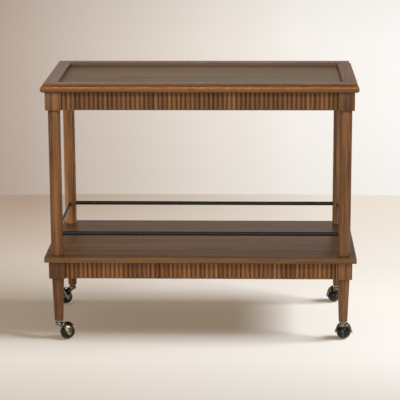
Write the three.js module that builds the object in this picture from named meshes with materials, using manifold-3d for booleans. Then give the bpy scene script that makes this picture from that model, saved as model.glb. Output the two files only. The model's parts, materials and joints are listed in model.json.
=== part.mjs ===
// A bar cart: a tray top and a lower shelf held apart by four turned posts, with reeded aprons under both,
// a black gallery rod along each side above the shelf, and a hooded ball caster under each tapered foot.
// Millimetres, +Z up. The origin is on the floor under the middle of the tray. X runs along the cart, Y
// across it, and the front faces -Y.

import * as THREE from 'three';
import { mergeVertices } from 'three/addons/utils/BufferGeometryUtils.js';
import Module from 'manifold-3d';

const wasm = await Module();
wasm.setup();

// Heights above the floor, and the plan
const trayLength = 914;
const trayWidth = 457;
const trayHeight = 775;
const shelfHeight = 262;
const footHeight = 62;

// Clearances: between faces that are glued or screwed, and round whatever sits or turns in a hole
const jointGap = 0.1;
const fitGap = 0.3;

// Tray: a mitred rim round a panel whose thinned edge, the tongue, lies in the rim's rabbet
const rimThickness = 25;
const rimWidth = 45.5;
const recessDepth = 12.5;
const recessLean = 2;
const recessEdgeRadius = 1.5;
const rabbetReach = 10;
const tongueThickness = 4;
const flatInset = 8;
const quirkDrop = 3;
const coveRadius = 3.5;
const noseRadius = 8.5;
const undersideRadius = 8.5;

// Posts and feet
const legInset = 35.5;
const blockSide = 47.6;
const upperBlockHeight = 53;
const lowerBlockHeight = 52;
const postDiameter = 36;
const footTopDiameter = 36;
const footEndDiameter = 26;
const footEndChamfer = 1.2;
const boltDiameter = 8;
const boltReach = 32;
const postSeat = 3;

// Aprons
const apronThickness = 21;
const apronSetback = 4;
const upperApronHeight = 52.5;
const lowerApronHeight = 51.5;
const reedPitch = 13.2;
const reedRise = 3.2;
const tenonThickness = 8;
const tenonHeight = 34;
const tenonLength = 12;

// Shelf, gallery rods and corner braces
const shelfThickness = 16;
const shelfEase = 1.2;
const rodDiameter = 12;
const rodHeight = 65;
const rodSeat = 10;
const braceThickness = 20;
const braceHeight = 32;

// Caster: ball, axle, hood, boss, stem and socket
const ballDiameter = 44.5;
const seamHeight = 0.3;
const seamWidth = 1.6;
const hubFlat = 41;
const trail = 25;
const axleDiameter = 5;
const axleHeadDiameter = 9;
const axleHeadHeight = 1.3;
const hoodRadius = 24.4;
const hoodRise = 30.5;
const hoodWall = 1.7;
const visorHeight = 19.5;
const saddleHeight = 17;
const cheekWidth = 25;
const cheekEndRadius = 5.5;
const cheekPadHeight = 0.4;
const bossDiameter = 22;
const bossHeight = 7;
const bossEdge = 1;
const neckWidth = 15;
const ringDiameter = 18;
const ringHeight = 4;
const stemDiameter = 8;
const stemLength = 34;
const stemGrip = 5.5;
const socketDiameter = 11;
const socketTopWall = 1.5;
const collarDiameter = 23;
const collarHeight = 5;
const collarEdge = 1;

// Facets of round work
const postSides = 24;
const rodSides = 12;
const boltSides = 8;
const holeSides = 12;
const casterSides = 12;
const ballSides = 18;
const hoodSides = 16;
const hoodRings = 10;
const arcSteps = 3;
const edgeSteps = 2;
const ballArcSteps = 3;

// Each leg stands on one side of the cart in X and in Y, and its caster is parked with the ball trailing
// in the given direction, in degrees from +X towards +Y
const legs = [
  { name: 'front_left', sideX: -1, sideY: -1, parked: 20 },
  { name: 'front_right', sideX: 1, sideY: -1, parked: 82 },
  { name: 'rear_left', sideX: -1, sideY: 1, parked: 210 },
  { name: 'rear_right', sideX: 1, sideY: 1, parked: 107 },
];

// Each side of the cart, turned from the front about +Z
const sides = [
  { name: 'front', turn: 0, length: trayLength, width: trayWidth },
  { name: 'right', turn: Math.PI / 2, length: trayWidth, width: trayLength },
  { name: 'rear', turn: Math.PI, length: trayLength, width: trayWidth },
  { name: 'left', turn: -Math.PI / 2, length: trayWidth, width: trayLength },
];

// Sizes that follow from those above
const trayBottom = trayHeight - rimThickness;
const shelfBottom = shelfHeight - shelfThickness;
const upperApronTop = trayBottom - jointGap;
const lowerApronTop = shelfBottom - jointGap;
const legX = trayLength / 2 - legInset;
const legY = trayWidth / 2 - legInset;
const axleHeight = ballDiameter / 2;
const collarBottom = footHeight - collarHeight;
const bossTop = collarBottom - ringHeight;
const bossBottom = bossTop - bossHeight;

// Colours of the finishes
const walnut = 0x7b5231;
const walnutDark = 0x5f3f28;
const blackPaint = 0x1c1b1a;
const agedBrass = 0x7d6a48;
const zinc = 0x8d8a84;
const blackRubber = 0x1d1b1b;

const wood = (color) => new THREE.MeshStandardMaterial({ color, roughness: 0.5, metalness: 0 });
const metal = (color, roughness) => new THREE.MeshStandardMaterial({ color, roughness, metalness: 0.9 });
const rubber = () => new THREE.MeshStandardMaterial({ color: blackRubber, roughness: 0.35, metalness: 0 });

// A closed solid from a geometry: shared vertices merged, triangles that have shrunk to a line left out
function solid(geometry) {
  const bare = geometry.clone();
  bare.deleteAttribute('normal');
  bare.deleteAttribute('uv');
  const merged = mergeVertices(bare);
  const triangles = [];
  for (let i = 0; i < merged.index.count; i += 3) {
    const [a, b, c] = [merged.index.getX(i), merged.index.getX(i + 1), merged.index.getX(i + 2)];
    if (a !== b && b !== c && c !== a) triangles.push(a, b, c);
  }
  return new wasm.Manifold(new wasm.Mesh({
    numProp: 3,
    vertProperties: new Float32Array(merged.attributes.position.array),
    triVerts: new Uint32Array(triangles),
  }));
}

function geometryOf(body) {
  const { vertProperties, triVerts } = body.getMesh();
  const geometry = new THREE.BufferGeometry();
  geometry.setAttribute('position', new THREE.BufferAttribute(vertProperties, 3));
  geometry.setIndex(new THREE.BufferAttribute(triVerts, 1));
  geometry.computeVertexNormals();
  return geometry;
}

// A box from its lowest to its highest corner, whichever way round each pair is given
function block(x, y, z) {
  const size = [x, y, z].map(([from, to]) => Math.abs(to - from));
  const middle = [x, y, z].map(([from, to]) => (from + to) / 2);
  return solid(new THREE.BoxGeometry(...size).translate(...middle));
}

// A round bar along +Z from one height to another, with a radius at each end
function bar(lowRadius, highRadius, low, high, sideCount) {
  const geometry = new THREE.CylinderGeometry(highRadius, lowRadius, high - low, sideCount);
  return solid(geometry.rotateX(Math.PI / 2).translate(0, 0, (low + high) / 2));
}

// A turned piece about +Z from points of radius and height, which run upwards on its outside
function turned(points, sideCount) {
  const outline = points.map(([radius, height]) => new THREE.Vector2(radius, height));
  return solid(new THREE.LatheGeometry(outline, sideCount).rotateX(Math.PI / 2));
}

// An outline in plan, raised from one height to another
function raised(shape, low, high) {
  const geometry = new THREE.ExtrudeGeometry(shape, { depth: high - low, bevelEnabled: false });
  return solid(geometry.translate(0, 0, low));
}

// Points along an arc, both ends included
function arc(centreX, centreY, radius, from, to, steps = arcSteps) {
  const points = [];
  for (let i = 0; i <= steps; i += 1) {
    const angle = from + ((to - from) * i) / steps;
    points.push([centreX + radius * Math.cos(angle), centreY + radius * Math.sin(angle)]);
  }
  return points;
}

// Tray rim

// Section of the rim: how far in from the nose, and how far below the flat top. A cove under the flat runs
// into a full, round nose.
function rimSection() {
  const coveInset = flatInset - coveRadius;
  const noseStart = Math.acos((noseRadius - coveInset) / noseRadius);
  const noseDrop = quirkDrop + coveRadius + noseRadius * Math.sin(noseStart);
  const recessFoot = rimWidth + recessLean;
  const tongueTop = rimThickness - tongueThickness - jointGap;
  return [
    ...arc(rimWidth - recessEdgeRadius, recessEdgeRadius, recessEdgeRadius, 0, -Math.PI / 2, edgeSteps),
    [flatInset, 0],
    ...arc(coveInset, quirkDrop, coveRadius, 0, Math.PI / 2),
    ...arc(noseRadius, noseDrop, noseRadius, noseStart - Math.PI, -Math.PI).slice(1),
    ...arc(undersideRadius, rimThickness - undersideRadius, undersideRadius, Math.PI, Math.PI / 2),
    [recessFoot - rabbetReach, rimThickness],
    [recessFoot - rabbetReach, tongueTop],
    [recessFoot, tongueTop],
    [recessFoot, recessDepth],
  ];
}

// One side of the rim, its section swept along the side and mitred at both ends
function rimRail(side) {
  const section = rimSection();
  const positions = [];
  for (const end of [-1, 1]) {
    for (const [inset, drop] of section) {
      const x = end * (side.length / 2 - inset - jointGap);
      positions.push(x, inset - side.width / 2, trayHeight - drop);
    }
  }
  const count = section.length;
  const indices = [];
  for (let i = 0; i < count; i += 1) {
    const next = (i + 1) % count;
    indices.push(i, next, count + i);
    indices.push(next, count + next, count + i);
  }
  const outline = section.map(([inset, drop]) => new THREE.Vector2(inset, drop));
  for (const [a, b, c] of THREE.ShapeUtils.triangulateShape(outline, [])) {
    indices.push(a, b, c);
    indices.push(count + a, count + c, count + b);
  }
  const geometry = new THREE.BufferGeometry();
  geometry.setAttribute('position', new THREE.Float32BufferAttribute(positions, 3));
  geometry.setIndex(indices);
  return solid(geometry);
}

// Floor of the tray: a raised field inside the rim, and the tongue all round it
function trayPanel() {
  const layer = (inset, top) => {
    const halfLength = trayLength / 2 - inset;
    const halfWidth = trayWidth / 2 - inset;
    return block([-halfLength, halfLength], [-halfWidth, halfWidth], [trayBottom, top]);
  };
  const fieldInset = rimWidth + recessLean + fitGap;
  const field = layer(fieldInset, trayHeight - recessDepth);
  return field.add(layer(fieldInset - rabbetReach, trayBottom + tongueThickness));
}

// Aprons

// Outline of a reeded board in plan: reeds on the -Y side with their crests at y = 0
function reededOutline(length) {
  const count = Math.max(1, Math.round(length / reedPitch));
  const pitch = length / count;
  const radius = pitch ** 2 / (8 * reedRise) + reedRise / 2;
  const spread = Math.asin(pitch / 2 / radius);
  const points = [[-length / 2, apronThickness], [-length / 2, reedRise]];
  for (let i = 0; i < count; i += 1) {
    const middle = (i + 1 / 2) * pitch - length / 2;
    points.push(...arc(middle, radius, radius, -Math.PI / 2 - spread, -Math.PI / 2 + spread).slice(1));
  }
  points.push([length / 2, apronThickness]);
  return new THREE.Shape(points.map(([x, y]) => new THREE.Vector2(x, y)));
}

// Where an apron's tenon stands across the thickness of the board, from the crests inwards
const tenonStart = (apronThickness + reedRise - tenonThickness) / 2;

// A reeded apron between two blocks, with a tenon at each end
function apron(side, top, height) {
  const length = side.length - 2 * legInset - blockSide - 2 * jointGap;
  const middle = top - height / 2;
  const front = legInset - blockSide / 2 + apronSetback - side.width / 2;
  const board = raised(reededOutline(length), top - height, top).translate(0, front, 0);
  const reach = length / 2 + tenonLength;
  const tenons = block(
    [-reach, reach],
    [front + tenonStart, front + tenonStart + tenonThickness],
    [middle - tenonHeight / 2, middle + tenonHeight / 2],
  );
  return board.add(tenons);
}

// The two mortises of a leg's block, for the tenons of the aprons that meet it
function mortises(leg, apronTop, apronHeight) {
  const outer = blockSide / 2 - apronSetback - tenonStart;
  const near = outer + fitGap;
  const far = outer - tenonThickness - fitGap;
  const face = blockSide / 2;
  const depth = [-face - fitGap, -face + tenonLength + fitGap];
  const middle = apronTop - apronHeight / 2;
  const height = [middle - tenonHeight / 2 - fitGap, middle + tenonHeight / 2 + fitGap];
  const alongX = block(depth.map((x) => x * leg.sideX), [near * leg.sideY, far * leg.sideY], height);
  const alongY = block([near * leg.sideX, far * leg.sideX], depth.map((y) => y * leg.sideY), height);
  return alongX.add(alongY);
}

// Posts and feet, each about its own axis

function post(leg) {
  const bottom = shelfHeight - postSeat + jointGap;
  const half = blockSide / 2;
  const blockBottom = upperApronTop - upperBlockHeight;
  const column = bar(postDiameter / 2, postDiameter / 2, bottom, blockBottom + half, postSides);
  const whole = block([-half, half], [-half, half], [blockBottom, upperApronTop]).add(column);
  const boltHole = bar(
    boltDiameter / 2 + fitGap,
    boltDiameter / 2 + fitGap,
    bottom - fitGap,
    shelfHeight + boltReach + fitGap,
    boltSides,
  );
  return whole
    .subtract(mortises(leg, upperApronTop, upperApronHeight))
    .subtract(rodHoles(leg))
    .subtract(boltHole);
}

// Blind holes in a post for the ends of the two gallery rods that meet it
function rodHoles(leg) {
  const radius = rodDiameter / 2 + fitGap;
  const deep = postDiameter / 2 - rodSeat;
  const hole = bar(radius, radius, deep, postDiameter / 2 + fitGap, holeSides);
  const height = shelfHeight + rodHeight;
  const alongX = hole.rotate([0, -90 * leg.sideX, 0]).translate(0, 0, height);
  const alongY = hole.rotate([90 * leg.sideY, 0, 0]).translate(0, 0, height);
  return alongX.add(alongY);
}

function foot(leg) {
  const half = blockSide / 2;
  const blockBottom = lowerApronTop - lowerBlockHeight;
  const endRadius = footEndDiameter / 2;
  const tapered = turned([
    [0, footHeight],
    [endRadius - footEndChamfer, footHeight],
    [endRadius, footHeight + footEndChamfer],
    [footTopDiameter / 2, blockBottom],
    [footTopDiameter / 2, blockBottom + half],
    [0, blockBottom + half],
  ], postSides);
  const whole = block([-half, half], [-half, half], [blockBottom, lowerApronTop]).add(tapered);
  const boltRadius = boltDiameter / 2 + fitGap;
  const boltBottom = shelfBottom - boltReach - fitGap;
  const boltHole = bar(boltRadius, boltRadius, boltBottom, lowerApronTop + fitGap, boltSides);
  const socketRadius = socketDiameter / 2 + fitGap;
  const socketTop = footHeight + stemLength + socketTopWall + 2 * fitGap;
  const socketHole = bar(socketRadius, socketRadius, footHeight - fitGap, socketTop, holeSides);
  return whole
    .subtract(mortises(leg, lowerApronTop, lowerApronHeight))
    .subtract(boltHole)
    .subtract(socketHole);
}

// Threaded bolt that ties post, shelf and foot together
function hangerBolt() {
  const radius = boltDiameter / 2;
  return bar(radius, radius, shelfBottom - boltReach, shelfHeight + boltReach, boltSides);
}

// A diagonal board in the corner of two aprons, against the inner edge of the leg's block
function cornerBrace(leg, top) {
  const apronBack = apronSetback + apronThickness - blockSide / 2 + jointGap;
  const outer = blockSide + jointGap * Math.SQRT2;
  const inner = outer + braceThickness * Math.SQRT2;
  const corners = [
    [outer - apronBack, apronBack],
    [inner - apronBack, apronBack],
    [apronBack, inner - apronBack],
    [apronBack, outer - apronBack],
  ];
  const outline = corners.map(([x, y]) => new THREE.Vector2(-x * leg.sideX, -y * leg.sideY));
  return raised(new THREE.Shape(outline), top - jointGap - braceHeight, top - jointGap);
}

// Shelf and gallery

// Plain slab with eased edges and, under each post, a shallow seat for its end and a bolt hole
function shelf() {
  const halfLength = trayLength / 2 - shelfEase;
  const halfWidth = trayWidth / 2 - shelfEase;
  const outline = new THREE.Shape([
    new THREE.Vector2(-halfLength, -halfWidth),
    new THREE.Vector2(halfLength, -halfWidth),
    new THREE.Vector2(halfLength, halfWidth),
    new THREE.Vector2(-halfLength, halfWidth),
  ]);
  const slab = solid(new THREE.ExtrudeGeometry(outline, {
    depth: shelfThickness - 2 * shelfEase,
    bevelThickness: shelfEase,
    bevelSize: shelfEase,
    bevelSegments: 1,
  }).translate(0, 0, shelfBottom + shelfEase));
  const seatRadius = postDiameter / 2 + jointGap;
  const seat = bar(seatRadius, seatRadius, shelfHeight - postSeat, shelfHeight + fitGap, postSides);
  const boltRadius = boltDiameter / 2 + fitGap;
  const hole = bar(boltRadius, boltRadius, shelfBottom - fitGap, shelfHeight, boltSides).add(seat);
  const holes = legs.map((leg) => hole.translate(legX * leg.sideX, legY * leg.sideY, 0));
  return holes.reduce((whole, each) => whole.subtract(each), slab);
}

// A rod along X between two posts, let into both
function galleryRod(side) {
  const reach = side.length / 2 - legInset - postDiameter / 2 + rodSeat - fitGap;
  const rod = bar(rodDiameter / 2, rodDiameter / 2, -reach, reach, rodSides);
  return rod.rotate([0, 90, 0]).translate(0, legInset - side.width / 2, shelfHeight + rodHeight);
}

// Caster, about its stem, with the ball trailing along +X

// Sleeve in the foot with a closed top and a collar against the foot's end
function casterSocket() {
  const bore = stemDiameter / 2 + fitGap;
  const sleeve = socketDiameter / 2;
  const collar = collarDiameter / 2;
  const collarTop = footHeight - jointGap;
  const boreTop = footHeight + stemLength + fitGap;
  return turned([
    [bore, boreTop],
    [bore, collarBottom],
    [collar - collarEdge, collarBottom],
    [collar, collarBottom + collarEdge],
    [collar, collarTop],
    [sleeve, collarTop],
    [sleeve, boreTop + socketTopWall],
    [0, boreTop + socketTopWall],
    [0, boreTop],
    [bore, boreTop],
  ], casterSides);
}

// Stem with a shoulder ring that bears under the collar, and an end held in the boss
function casterStem() {
  const radius = stemDiameter / 2;
  const ringTop = collarBottom - fitGap;
  const end = bossTop - stemGrip;
  return turned([
    [0, end],
    [radius, end],
    [radius, bossTop + jointGap],
    [ringDiameter / 2, bossTop + jointGap],
    [ringDiameter / 2, ringTop],
    [radius, ringTop],
    [radius, footHeight + stemLength],
    [0, footHeight + stemLength],
  ], casterSides);
}

// Solid of a half-height, sideways round and taller than it is wide, about the ball's middle
function dome(radius, rise) {
  const sphere = new THREE.SphereGeometry(1, hoodSides, hoodRings);
  return solid(sphere.rotateX(Math.PI / 2).scale(radius, radius, rise).translate(trail, 0, axleHeight));
}

// Side view of the hood: a visor that overhangs the ball, tapered cheeks that end in a round at the axle,
// and a deeper skirt on the stem side
function hoodSideView() {
  const reach = hoodRadius + fitGap;
  const halfCheek = cheekWidth / 2;
  const tangent = (height) => {
    const slope = Math.atan2(height, halfCheek);
    return slope - Math.acos(cheekEndRadius / Math.hypot(height, halfCheek));
  };
  const shape = new THREE.Shape();
  shape.moveTo(-reach, hoodRise + fitGap);
  shape.lineTo(-reach, saddleHeight);
  shape.lineTo(-halfCheek, saddleHeight);
  const [from, to] = [Math.PI - tangent(saddleHeight), tangent(visorHeight) + 2 * Math.PI];
  for (const [x, z] of arc(0, 0, cheekEndRadius, from, to)) shape.lineTo(x, z);
  shape.lineTo(halfCheek, visorHeight);
  shape.lineTo(reach, visorHeight);
  shape.lineTo(reach, hoodRise + fitGap);
  return shape;
}

// Neck in side view, from the boss down into the stem side of the hood
function neckSideView() {
  const bossRadius = bossDiameter / 2;
  return new THREE.Shape([
    new THREE.Vector2(-bossRadius + bossEdge, bossTop - bossEdge),
    new THREE.Vector2(-bossRadius + bossEdge, bossBottom + bossEdge),
    new THREE.Vector2(trail - hoodRadius + hoodWall, axleHeight + saddleHeight),
    new THREE.Vector2(trail, axleHeight + saddleHeight),
    new THREE.Vector2(trail, axleHeight + hoodRise - hoodWall),
    new THREE.Vector2(bossRadius, bossTop - bossEdge),
  ]);
}

// A side view raised across the caster, half of the width to each side
function acrossCaster(shape, width) {
  const geometry = new THREE.ExtrudeGeometry(shape, { depth: width, bevelEnabled: false });
  return solid(geometry.translate(0, 0, -width / 2).rotateX(Math.PI / 2));
}

// A round bar along the axle, the same length to each side of the ball's middle
function alongAxle(radius, halfLength, sideCount) {
  const geometry = new THREE.CylinderGeometry(radius, radius, 2 * halfLength, sideCount);
  return solid(geometry.translate(trail, 0, axleHeight));
}

function casterHousing() {
  const sideView = acrossCaster(hoodSideView(), 2 * (hoodRadius + fitGap)).translate(trail, 0, axleHeight);
  const bossRadius = bossDiameter / 2;
  const boss = turned([
    [0, bossBottom],
    [bossRadius - bossEdge, bossBottom],
    [bossRadius, bossBottom + bossEdge],
    [bossRadius, bossTop - bossEdge],
    [bossRadius - bossEdge, bossTop],
    [0, bossTop],
  ], casterSides);
  const stemHole = bar(
    stemDiameter / 2 + fitGap,
    stemDiameter / 2 + fitGap,
    bossTop - stemGrip - fitGap,
    bossTop + fitGap,
    holeSides,
  );
  return dome(hoodRadius, hoodRise)
    .intersect(sideView)
    .add(acrossCaster(neckSideView(), neckWidth))
    .add(alongAxle(cheekEndRadius, hoodRadius + cheekPadHeight, casterSides))
    .subtract(dome(hoodRadius - hoodWall, hoodRise - hoodWall))
    .add(boss)
    .subtract(stemHole)
    .subtract(alongAxle(axleDiameter / 2 + fitGap, hoodRadius + cheekPadHeight + fitGap, holeSides));
}

// Axle with a riveted head outside each cheek
function casterAxle() {
  const inside = hoodRadius + cheekPadHeight + fitGap;
  const outside = inside + axleHeadHeight;
  const [pin, head] = [axleDiameter / 2, axleHeadDiameter / 2];
  const edge = axleHeadHeight / 2;
  const axle = turned([
    [0, -outside],
    [head - edge, -outside],
    [head, -inside - edge],
    [head, -inside],
    [pin, -inside],
    [pin, inside],
    [head, inside],
    [head, inside + edge],
    [head - edge, outside],
    [0, outside],
  ], casterSides);
  return axle.rotate([90, 0, 0]).translate(trail, 0, axleHeight);
}

// Ball with flat hub faces and a fine seam round its middle, turned so that a flat of it is on the floor
function casterBall() {
  const crest = ballDiameter / 2 / Math.cos(Math.PI / ballSides);
  const radius = crest - seamHeight;
  const bore = axleDiameter / 2 + fitGap;
  const hubAngle = Math.asin(hubFlat / 2 / radius);
  const seamAngle = Math.asin(seamWidth / 2 / radius);
  const ball = turned([
    [bore, hubFlat / 2],
    [bore, -hubFlat / 2],
    ...arc(0, 0, radius, -hubAngle, -seamAngle, ballArcSteps),
    [crest, 0],
    ...arc(0, 0, radius, seamAngle, hubAngle, ballArcSteps),
    [bore, hubFlat / 2],
  ], ballSides);
  return ball.rotate([0, 0, 180 / ballSides]).rotate([90, 0, 0]).translate(trail, 0, axleHeight);
}

// Assembly

const cart = new THREE.Group();

function place(parent, name, body, material) {
  const mesh = new THREE.Mesh(geometryOf(body), material);
  mesh.name = name;
  parent.add(mesh);
}

place(cart, 'tray_panel', trayPanel(), wood(walnut));
place(cart, 'lower_shelf', shelf(), wood(walnut));

for (const side of sides) {
  const group = new THREE.Group();
  group.rotation.z = side.turn;
  cart.add(group);
  place(group, `tray_rim_${side.name}`, rimRail(side), wood(walnut));
  place(group, `upper_apron_${side.name}`, apron(side, upperApronTop, upperApronHeight), wood(walnut));
  place(group, `lower_apron_${side.name}`, apron(side, lowerApronTop, lowerApronHeight), wood(walnut));
  place(group, `gallery_rod_${side.name}`, galleryRod(side), metal(blackPaint, 0.5));
}

for (const leg of legs) {
  const group = new THREE.Group();
  group.position.set(legX * leg.sideX, legY * leg.sideY, 0);
  cart.add(group);
  place(group, `post_${leg.name}`, post(leg), wood(walnut));
  place(group, `foot_${leg.name}`, foot(leg), wood(walnut));
  place(group, `hanger_bolt_${leg.name}`, hangerBolt(), metal(zinc, 0.4));
  place(group, `upper_brace_${leg.name}`, cornerBrace(leg, trayBottom), wood(walnutDark));
  place(group, `lower_brace_${leg.name}`, cornerBrace(leg, shelfBottom), wood(walnutDark));
  place(group, `caster_socket_${leg.name}`, casterSocket(), metal(zinc, 0.35));

  const caster = new THREE.Group();
  caster.rotation.z = THREE.MathUtils.degToRad(leg.parked);
  group.add(caster);
  place(caster, `caster_stem_${leg.name}`, casterStem(), metal(agedBrass, 0.45));
  place(caster, `caster_housing_${leg.name}`, casterHousing(), metal(agedBrass, 0.4));
  place(caster, `caster_axle_${leg.name}`, casterAxle(), metal(agedBrass, 0.35));
  place(caster, `caster_ball_${leg.name}`, casterBall(), rubber());
}

export default cart;
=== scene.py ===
"""Finished surfaces of a wooden bar cart.

A tray with a moulded rim, reeded aprons, turned posts and feet, a shelf with black rods round it,
and ball casters.
"""

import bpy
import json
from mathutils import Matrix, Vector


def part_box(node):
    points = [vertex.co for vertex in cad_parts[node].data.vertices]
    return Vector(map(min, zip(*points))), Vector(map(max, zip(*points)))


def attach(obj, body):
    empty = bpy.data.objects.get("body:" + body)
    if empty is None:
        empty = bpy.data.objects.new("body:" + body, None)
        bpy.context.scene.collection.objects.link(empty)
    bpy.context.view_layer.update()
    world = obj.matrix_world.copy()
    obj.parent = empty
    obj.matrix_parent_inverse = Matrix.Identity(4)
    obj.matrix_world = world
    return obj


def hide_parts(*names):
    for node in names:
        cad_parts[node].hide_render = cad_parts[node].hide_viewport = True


bl_info = {
    "name": "Reeded bar cart",
    "version": (1, 0, 0),
    "blender": (4, 5, 0),
    "location": "3D View > Sidebar > Bar cart",
    "description": "Makes the finished surfaces of a wooden bar cart round its packed frame",
    "category": "Object",
}

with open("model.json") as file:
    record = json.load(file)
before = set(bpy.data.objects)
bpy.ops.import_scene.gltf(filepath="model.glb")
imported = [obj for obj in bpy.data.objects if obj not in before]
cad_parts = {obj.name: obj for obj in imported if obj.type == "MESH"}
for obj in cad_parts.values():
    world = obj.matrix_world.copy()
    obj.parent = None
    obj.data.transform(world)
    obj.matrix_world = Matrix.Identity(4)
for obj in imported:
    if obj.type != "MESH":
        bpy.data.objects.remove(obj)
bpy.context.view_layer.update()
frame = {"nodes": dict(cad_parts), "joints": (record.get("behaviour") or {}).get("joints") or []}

import json
import math
import random

import bmesh
import bpy
from mathutils import Matrix, Vector

MM = 0.001
SIDES = {"front": 0, "right": 90, "rear": 180, "left": -90}
LONG_SIDES = ("front", "rear")
LEGS = ("front_left", "front_right", "rear_left", "rear_right")
JOINTS = {joint["name"]: joint for joint in frame["joints"]}

# A hairline between pieces that meet
GAP = 0.1 * MM

# First seed of each kind of wood
SEEDS = {"tray": 11, "rim": 20, "apron": 40, "post": 60, "foot": 70, "shelf": 81, "brace": 91}

# Places that follow from the frame
TRAY_HALF_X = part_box("tray_rim_right")[1].x
TRAY_HALF_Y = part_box("tray_rim_rear")[1].y
TRAY_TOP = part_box("tray_rim_front")[1].z
TRAY_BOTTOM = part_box("tray_rim_front")[0].z
TRAY_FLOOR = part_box("tray_panel")[1].z


def low(node):
    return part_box(node)[0]


def high(node):
    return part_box(node)[1]


def middle(node):
    return (low(node) + high(node)) / 2


# Settings that a user would change

def length(name, description, default):
    return bpy.props.FloatProperty(
        name=name, description=description, default=default, min=0, unit="LENGTH", precision=5
    )


def colour(name, description, default):
    return bpy.props.FloatVectorProperty(
        name=name, description=description, default=default, size=3, min=0, max=1, subtype="COLOR"
    )


def share(name, description, default):
    return bpy.props.FloatProperty(
        name=name, description=description, default=default, min=0, max=1, subtype="FACTOR"
    )


def watts(name, description, default):
    return bpy.props.FloatProperty(
        name=name, description=description, default=default, min=0, unit="POWER"
    )


class CartShape(bpy.types.PropertyGroup):
    """Sizes of mouldings, edges, reeds and turned parts."""

    rim_width: length("Rim width", "Width of the tray's rim, from its nose to the recess", 45.5 * MM)
    recess_lean: length("Recess lean", "How far the foot of the recess wall stands in", 2 * MM)
    rabbet: length("Rabbet", "How far the rim reaches over the tongue of the tray's panel", 10 * MM)
    tongue: length("Tongue", "Thickness of the panel's edge where it lies in the rabbet", 4 * MM)
    flat_inset: length("Flat inset", "How far the rim's flat top lies behind its nose", 8 * MM)
    quirk: length("Quirk", "Small step between the flat of the rim and its cove", 3 * MM)
    cove: length("Cove radius", "Radius of the hollow on the rim's outer edge", 3.5 * MM)
    nose: length("Nose radius", "Radius of the rim's round nose", 8.5 * MM)
    ease: length("Eased edge", "Radius of the sanded edges of posts, feet and shelf", 1.0 * MM)
    reed_pitch: length("Reed pitch", "Width of one reed of an apron", 13.2 * MM)
    reed_rise: length("Reed rise", "How far a reed stands out of its grooves", 3.2 * MM)
    column: length("Column diameter", "Diameter of the round part of a post", 36 * MM)
    foot_top: length("Foot diameter", "Diameter of a foot under its block", 36 * MM)
    foot_end: length("Foot end diameter", "Diameter of a foot at its lower end", 26 * MM)
    rod: length("Rod diameter", "Diameter of the gallery rods", 12 * MM)


class CartWood(bpy.types.PropertyGroup):
    """Tones of the stained walnut and how it is finished."""

    tray: colour("Tray floor", "Middle tone of the tray's floor", (0.115, 0.063, 0.022))
    rim: colour("Rim", "Middle tone of the tray's rim", (0.222, 0.088, 0.023))
    apron: colour("Aprons", "Middle tone of the reeds", (0.205, 0.094, 0.036))
    post: colour("Posts", "Middle tone of posts and feet", (0.205, 0.093, 0.034))
    shelf: colour("Shelf", "Middle tone of the lower shelf", (0.106, 0.051, 0.018))
    raw: colour("Braces", "Middle tone of the raw wood of the corner braces", (0.3, 0.19, 0.1))
    gloss: share("Gloss", "How much of its light the wood throws back from its surface", 0.22)
    roughness: share("Roughness", "Roughness of the wood's surface", 0.42)
    # Also sets how much lighter the painted highlights on the rim's nose and the reeds' crests are.
    wear: share("Wear", "How much lighter the rubbed edges are", 0.5)


class CartMetal(bpy.types.PropertyGroup):
    """Colours of rods, casters, bolts and screws."""

    rod: colour("Rods", "Black paint of the gallery rods", (0.008, 0.008, 0.008))
    brass: colour("Brass", "Brass plating where it is rubbed bright", (0.38, 0.315, 0.2))
    patina: colour("Patina", "Brass plating where it is dark", (0.04, 0.034, 0.028))
    zinc: colour("Zinc", "Zinc plating of sockets, bolts and screws", (0.38, 0.35, 0.31))
    rubber: colour("Balls", "Rubber of the caster balls", (0.007, 0.0065, 0.0072))
    seam: colour("Seams", "Rubbed moulding seam round each ball", (0.17, 0.16, 0.15))


class CartStage(bpy.types.PropertyGroup):
    """Floor, background and lamps."""

    floor_reach: length("Floor reach", "Half the width of the floor", 1.72)
    wall_left: colour("Wall, left", "Background to the left", (0.465, 0.37, 0.305))
    wall_middle: colour("Wall, middle", "Background behind the cart", (0.80, 0.72, 0.65))
    wall_beside: colour("Wall, beside", "Background right of the middle", (0.92, 0.875, 0.82))
    wall_right: colour("Wall, right", "Background to the right", (0.97, 0.95, 0.91))
    ceiling: colour("Ceiling", "Room above the cart, seen in reflections alone", (0.72, 0.67, 0.62))
    # The floor's colours hold painted light: darker far to the left and brighter towards the right.
    floor_near_left: colour("Floor, near left", "Floor to the cart's left", (0.775, 0.76, 0.745))
    floor_near_right: colour("Floor, near right", "Floor to the cart's right", (0.785, 0.81, 0.825))
    floor_far_left: colour("Floor, far left", "Floor behind, to the left", (0.345, 0.25, 0.21))
    floor_far_right: colour("Floor, far right", "Floor behind, to the right", (0.77, 0.755, 0.72))
    floor_glow: colour("Floor glow", "How bright the floor looks in full shadow", (0.2, 0.151, 0.1))
    fill: colour("Fill", "Light from all around", (0.22, 0.19, 0.16))
    floor_lamp: watts("Floor lamp", "Soft lamp for the floor and the cart's shadow on it", 975)
    front: watts("Front lamp", "Large soft lamp in front of the cart", 72)
    back: watts("Back lamp", "Small lamp behind, for the rear rod's shadow on the shelf", 45)
    left: watts("Left lamp", "Soft lamp to the left of the cart", 48)
    right: watts("Right lamp", "Soft lamp to the right of the cart", 20)
    spark: watts("Spark lamp", "Small lamp for the highlights on metal and rubber", 22)
    strip: watts("Strip lamp", "Long narrow lamp for the highlights along edges", 38)


# Meshes. A vertex's wear and painted light above 0 lightens it, for rubbing and for painted highlights,
# and below 0 darkens it, for stain and for painted shade.

SHARP_ANGLE = math.radians(28)
EASE_STEPS = 4


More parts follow.
